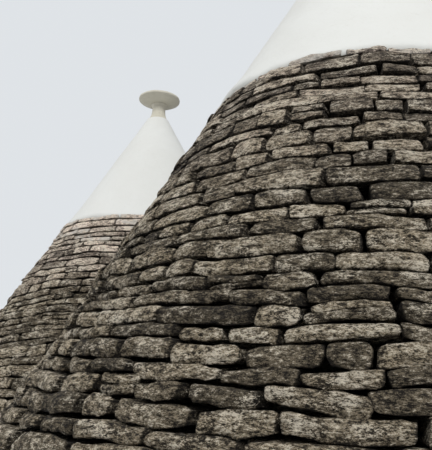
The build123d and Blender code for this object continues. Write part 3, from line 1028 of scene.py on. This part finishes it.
def worn_block(shaped, low, high, rounding, uneven=0.0, step=BLOCK_STEP, shape=None, along=2):
    """Adds a closed block with rounded edges. The layer "grain_place" keeps the long axis upright,
    so that wood grain runs along each piece."""
    cuts = []
    for length in Vector(high) - Vector(low):
        inner = length - 2 * rounding
        spans = max(1, round(inner / step))
        cuts.append([0.0, *[rounding + inner * k / spans for k in range(spans + 1)], length])
    core_low = Vector(low) + Vector((rounding,) * 3)
    core_high = Vector(high) - Vector((rounding,) * 3)
    layers = shaped.verts.layers.float_vector
    grain_place = layers.get("grain_place") or layers.new("grain_place")
    order = [axis for axis in range(3) if axis != along] + [along]
    made = {}
    last = [len(axis_cuts) - 1 for axis_cuts in cuts]
    for key in np.ndindex(*[end + 1 for end in last]):
        if not any(k in (0, end) for k, end in zip(key, last)):
            continue
        place = Vector(low) + Vector([cuts[axis][k] for axis, k in enumerate(key)])
        inside = Vector([min(max(p, a), b) for p, a, b in zip(place, core_low, core_high)])
        away = place - inside
        if away.length > 0:
            place = inside + away.normalized() * rounding
        remembered = Vector([place[axis] for axis in order]) + Vector((low[0] * 7, low[1] * 7, 0))
        if uneven:
            place = place + knocked(place) * uneven
        if shape:
            place = shape(place)
        made[key] = shaped.verts.new(place)
        made[key][grain_place] = remembered
    for axis in range(3):
        first, second = [other for other in range(3) if other != axis]
        for end in (0, last[axis]):
            for i, j in np.ndindex(last[first], last[second]):
                corners = []
                for di, dj in ((0, 0), (1, 0), (1, 1), (0, 1)):
                    key = [0, 0, 0]
                    key[axis], key[first], key[second] = end, i + di, j + dj
                    corners.append(made[tuple(key)])
                shaped.faces.new(corners)


def block_piece(name, shaped, finish, slot, *nodes):
    """Finishes a piece that is made of blocks."""
    piece = shaped_piece(name, shaped)
    smoothed(piece, SHARP)
    piece.data.materials.append(finish)
    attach(piece, "root")
    if nodes:
        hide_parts(*nodes)
    return piece


def hollowed(place):
    """Wears the threshold down in the middle of the doorway, and keeps its bed on the ground."""
    size = threshold_high - threshold_low
    across = (place.x - (threshold_low.x + threshold_high.x) / 2) / size.x
    up = max(0, (place.z - threshold_low.z) / size.z)
    wear = THRESHOLD_WEAR * math.exp(-((across / WEAR_HALF) ** 2)) * up**6
    return Vector((place.x, place.y, max(place.z - wear, threshold_low.z)))


dressed = stone_finish(
    "dressed_limestone",
    bump=0.25,
    tone=0.5,
    pits=(0.30, 0.27, 0.21),
    dark=(0.46, 0.42, 0.35),
    mid=(0.54, 0.50, 0.42),
    worn=(0.64, 0.60, 0.52),
)
for node, rounding in DRESSED_BLOCKS.items():
    shaped = bmesh.new()
    shape = hollowed if node == "door_threshold" else None
    worn_block(shaped, *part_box(node), rounding, BLOCK_UNEVEN, shape=shape)
    block_piece(f"{node}_block", shaped, dressed, "dressed_stone", node)

# Door. Two leaves of vertical boards, nailed to two battens with clenched iron nails and folded
# back against the jambs. The wood is bare, dark and weathered.
BOARDS = 3
BOARD_GAP = 0.004
BOARD_THICK = 0.045
BOARD_STEP = 0.22
FOOT_WEAR = 0.006
HEAD_WEAR = 0.003
BATTEN_HEIGHTS = (0.33, 1.39)
BATTEN_HALF = 0.055
BATTEN_STEP = 0.15
WOOD_ROUNDING = 0.004
WOOD_UNEVEN = 0.0015
NAIL_RADIUS = 0.009
NAIL_PROUD = 0.003
NAIL_CROWN = 0.6
NAIL_SIDES = 8
NAIL_INSET = 0.028
NAIL_STAGGER = 0.026

oak, w, surface = new_finish("weathered_boards")
stretched = w.vector("MULTIPLY", w.attribute("grain_place", "Vector"), (1.0, 1.0, 0.05))
fibres = w.spots(stretched, 130.0, 0.30, 0.70, detail=5.0, rough=0.65)
streaks = w.spots(stretched, 22.0, 0.35, 0.68, detail=3.0, distortion=0.4)
wood = w.mix(fibres, (0.045, 0.028, 0.018), (0.20, 0.13, 0.08))
wood = w.mix(w.number("MULTIPLY", streaks, 0.45), wood, (0.27, 0.235, 0.19))
w.plug(wood, surface["Base Color"])
w.plug(w.ranged(fibres, 0, 1, 0.88, 0.68), surface["Roughness"])
w.plug(w.bump(fibres, 0.002), surface["Normal"])

iron, w, surface = new_finish("hammered_iron")
rust = w.spots(w.point(), 60.0, 0.45, 0.65, detail=4.0)
w.plug(w.mix(rust, (0.035, 0.033, 0.032), (0.16, 0.07, 0.035)), surface["Base Color"])
w.plug(w.ranged(rust, 0, 1, 0.45, 0.85), surface["Roughness"])
w.plug(0.6, surface["Metallic"])


def add_nail(shaped, middle, turn_sign):
    """Adds a clenched nail's low round head, with the second material of the leaf."""
    proud = Vector((turn_sign * NAIL_PROUD, 0, 0))
    rim, crown = [], []
    for step in range(NAIL_SIDES):
        angle = 2 * math.pi * step / NAIL_SIDES
        off = Vector((0, math.cos(angle), math.sin(angle))) * NAIL_RADIUS
        rim.append(shaped.verts.new(middle + off + proud))
        crown.append(shaped.verts.new(middle + off * NAIL_CROWN - proud))
    faces = [shaped.faces.new(rim), shaped.faces.new(crown[::-1])]
    for step in range(NAIL_SIDES):
        after = (step + 1) % NAIL_SIDES
        faces.append(shaped.faces.new((rim[after], rim[step], crown[step], crown[after])))
    for face in faces:
        face.material_index = 1


chance = random.Random(5)
for side, turn_sign in CONES:
    node = f"door_leaf_{side}"
    low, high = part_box(node)
    jamb = half_gap + turn_sign * (threshold_high.x - threshold_low.x) / 2
    face_x = high.x if turn_sign < 0 else low.x
    shaped = bmesh.new()
    board = (high.y - low.y) / BOARDS
    near, far = sorted((jamb, jamb - turn_sign * BOARD_THICK))
    for index in range(BOARDS):
        begin = low.y + board * index
        foot = low.z + chance.uniform(0.0, FOOT_WEAR)
        head = high.z - chance.uniform(0.0, HEAD_WEAR)
        corners = ((near, begin + BOARD_GAP / 2, foot), (far, begin + board - BOARD_GAP / 2, head))
        worn_block(shaped, *corners, WOOD_ROUNDING, WOOD_UNEVEN, step=BOARD_STEP)
    near, far = sorted((jamb - turn_sign * (BOARD_THICK - 0.001), face_x))
    heights = [low.z + up for up in BATTEN_HEIGHTS]
    for height in heights:
        corners = ((near, low.y, height - BATTEN_HALF), (far, high.y, height + BATTEN_HALF))
        worn_block(shaped, *corners, WOOD_ROUNDING, WOOD_UNEVEN, step=BATTEN_STEP, along=1)
    leaf = block_piece(f"{node}_boards", shaped, oak, "door_wood", node)
    leaf.data.materials.append(iron)
    nails = bmesh.new()
    nails.from_mesh(leaf.data)
    for height in heights:
        for index in range(BOARDS):
            begin = low.y + board * index
            for inset, up in ((NAIL_INSET, NAIL_STAGGER), (board - NAIL_INSET, -NAIL_STAGGER)):
                add_nail(nails, Vector((face_x, begin + inset, height + up)), turn_sign)
    bmesh.ops.recalc_face_normals(nails, faces=nails.faces)
    nails.to_mesh(leaf.data)
    nails.free()

# Windows. A small fixed frame of four members with a cross of glazing bars over a thin pane, set
# deep in each opening. The wood is the same as the door's.
BAR = 0.018
FRAME_FACE = 0.05
MEMBER_UNEVEN = 0.0006
MEMBER_STEP = 0.12
UPRIGHT_BAR_DEPTH = (0.003, 0.017)
LEVEL_BAR_DEPTH = (0.0035, 0.0155)

glass, w, surface = new_finish("thin_pane")
streaked = w.spots(w.point(), 5.0, 0.3, 0.7, detail=4.0)
w.plug(w.mix(streaked, (0.55, 0.64, 0.66), (0.70, 0.76, 0.76)), surface["Base Color"])
w.plug(w.ranged(streaked, 0, 1, 0.04, 0.14), surface["Roughness"])
w.plug(0.75, surface["Transmission Weight"])
w.plug(1.45, surface["IOR"])


def add_member(shaped, across, span, rise, depth, along):
    """Adds a member or bar of a window, whose width runs along X where across is 0, and along Y
    where it is 1."""
    corners = ([0.0, 0.0, 0.0], [0.0, 0.0, 0.0])
    for corner, side_place, height, deep_place in zip(corners, span, rise, depth):
        corner[across], corner[1 - across], corner[2] = side_place, deep_place, height
    worn_block(shaped, *corners, WOOD_ROUNDING, MEMBER_UNEVEN, step=MEMBER_STEP, along=along)


for label, across in WINDOWS:
    low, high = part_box(f"{label}_frame")
    pane_low, pane_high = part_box(f"{label}_pane")
    deep = 1 - across
    middle = (low[across] + high[across]) / 2
    middle_z = (low.z + high.z) / 2
    pane_deep = (pane_low[deep] + pane_high[deep]) / 2
    shaped = bmesh.new()
    for begin, end in ((low[across], low[across] + FRAME_FACE), (high[across] - FRAME_FACE, high[across])):
        add_member(shaped, across, (begin, end), (low.z, high.z), (low[deep], high[deep]), 2)
    inner = (low[across] + FRAME_FACE - 0.001, high[across] - FRAME_FACE + 0.001)
    for begin, end in ((low.z, low.z + FRAME_FACE), (high.z - FRAME_FACE, high.z)):
        add_member(shaped, across, inner, (begin, end), (low[deep] + 0.001, high[deep] - 0.001), across)
    bar_width = (middle - BAR / 2, middle + BAR / 2)
    bar_height = (middle_z - BAR / 2, middle_z + BAR / 2)
    upright = (low.z + FRAME_FACE - 0.002, high.z - FRAME_FACE + 0.002)
    for sign in (-1, 1):
        depth = sorted(pane_deep + sign * off for off in UPRIGHT_BAR_DEPTH)
        add_member(shaped, across, bar_width, upright, depth, 2)
        depth = sorted(pane_deep + sign * off for off in LEVEL_BAR_DEPTH)
        add_member(shaped, across, inner, bar_height, depth, across)
    block_piece(f"{label}_frame_members", shaped, oak, "window_wood", f"{label}_frame")
    coated(f"{label}_pane", glass)

# Floors. Flags of worn limestone, laid in rows on a bed of mortar that shows in the joints. The
# rows are cut to the corners of the rooms, and one of them runs on through the passage.
ROOM_HALF = 1.25
CORNER_CUT = 0.35
PASSAGE_HALF = 0.45
FLAG_ROWS = (0.32, 0.48)
FLAG_LENGTHS = (0.38, 0.75)
FLAG_THICK = 0.05
FLAG_JOINT = 0.010
FLAG_PROUD = 0.004
FLAG_STEP = 0.5
FLAG_ROUNDING = 0.007
FLAG_UNEVEN = 0.002
ROW_SLACK = 0.01

flag_finish = stone_finish(
    "worn_flags",
    bump=0.15,
    tone=0.5,
    pits=(0.16, 0.14, 0.11),
    dark=(0.34, 0.31, 0.25),
    mid=(0.44, 0.40, 0.33),
    worn=(0.58, 0.54, 0.46),
)
mortar_finish = plaster_finish("floor_mortar", (0.46, 0.43, 0.37), (0.30, 0.27, 0.22), 0.5, 0.003)
chance = random.Random(12)
for side, turn_sign in CONES:
    low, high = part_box(f"{side}_floor")
    middle = half_gap * turn_sign
    shaped = bmesh.new()
    row = low.y
    while row < high.y - ROW_SLACK:
        row_end = row + chance.uniform(*FLAG_ROWS)
        if high.y - row_end < FLAG_ROWS[0]:
            row_end = high.y
        inset = max(0.0, CORNER_CUT - (row - low.y), CORNER_CUT - (high.y - row_end))
        begin, end = middle - ROOM_HALF + inset, middle + ROOM_HALF - inset
        if row_end < PASSAGE_HALF and row > -PASSAGE_HALF:
            begin, end = (begin, 0.0) if turn_sign < 0 else (0.0, end)
        flag = begin
        while flag < end - ROW_SLACK:
            flag_end = flag + chance.uniform(*FLAG_LENGTHS)
            if end - flag_end < FLAG_LENGTHS[0]:
                flag_end = end
            top = high.z + FLAG_PROUD + chance.uniform(-FLAG_UNEVEN, FLAG_UNEVEN)
            corners = (
                (flag + FLAG_JOINT / 2, row + FLAG_JOINT / 2, high.z - FLAG_THICK),
                (flag_end - FLAG_JOINT / 2, row_end - FLAG_JOINT / 2, top),
            )
            worn_block(shaped, *corners, FLAG_ROUNDING, FLAG_UNEVEN, step=FLAG_STEP)
            flag = flag_end
        row = row_end
    block_piece(f"{side}_floor_flags", shaped, flag_finish, "floor_stone")
    coated(f"{side}_floor", mortar_finish)

# Inside. The false vaults are bare limestone, corbelled inwards ring on ring. The arch between the
# rooms is turned in voussoirs, a little proud of the limewashed wall.
VOUSSOIRS = 11
VOUSSOIR_DEPTH = 0.20
VOUSSOIR_PROUD = 0.006
VOUSSOIR_SUNK = 0.05
VOUSSOIR_JOINT = 0.006
VOUSSOIR_STEP = 0.34
VOUSSOIR_ROUNDING = 0.006
VOUSSOIR_CLEAR = 0.001

vault_finish = stone_finish(
    "bare_rubble",
    bump=0.5,
    tone=0.5,
    pits=(0.12, 0.10, 0.08),
    dark=(0.38, 0.34, 0.27),
    mid=(0.50, 0.45, 0.37),
    worn=(0.66, 0.61, 0.52),
)
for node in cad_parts:
    if node.endswith(("_vault", "_closing_slab", "_tip_core")):
        coated(node, vault_finish)
arch_low, arch_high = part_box("passage_arch")
spring = arch_low.z
radius = (arch_high.y - arch_low.y) / 2 - VOUSSOIR_DEPTH
shaped = bmesh.new()
wedge = math.pi / VOUSSOIRS
for index in range(VOUSSOIRS):
    begin = wedge * index + VOUSSOIR_JOINT / radius / 2
    end = wedge * (index + 1) - VOUSSOIR_JOINT / radius / 2

    def wedged(place, begin=begin, end=end):
        """Bends a straight block into its place in the arch."""
        angle = begin + (end - begin) * place.y
        return Vector((place.x, place.z * math.cos(angle), spring + place.z * math.sin(angle)))

    for face_x, sign in ((arch_low.x, -1), (arch_high.x, 1)):
        near, far = sorted((face_x + sign * VOUSSOIR_PROUD, face_x - sign * VOUSSOIR_SUNK))
        corners = ((near, 0.0, radius + VOUSSOIR_CLEAR), (far, 1.0, radius + VOUSSOIR_DEPTH))
        worn_block(shaped, *corners, VOUSSOIR_ROUNDING, step=VOUSSOIR_STEP, shape=wedged)
block_piece("passage_voussoirs", shaped, limewash, "arch_stone")

for blank in (slab_blank, face_blank):
    bpy.data.objects.remove(blank)
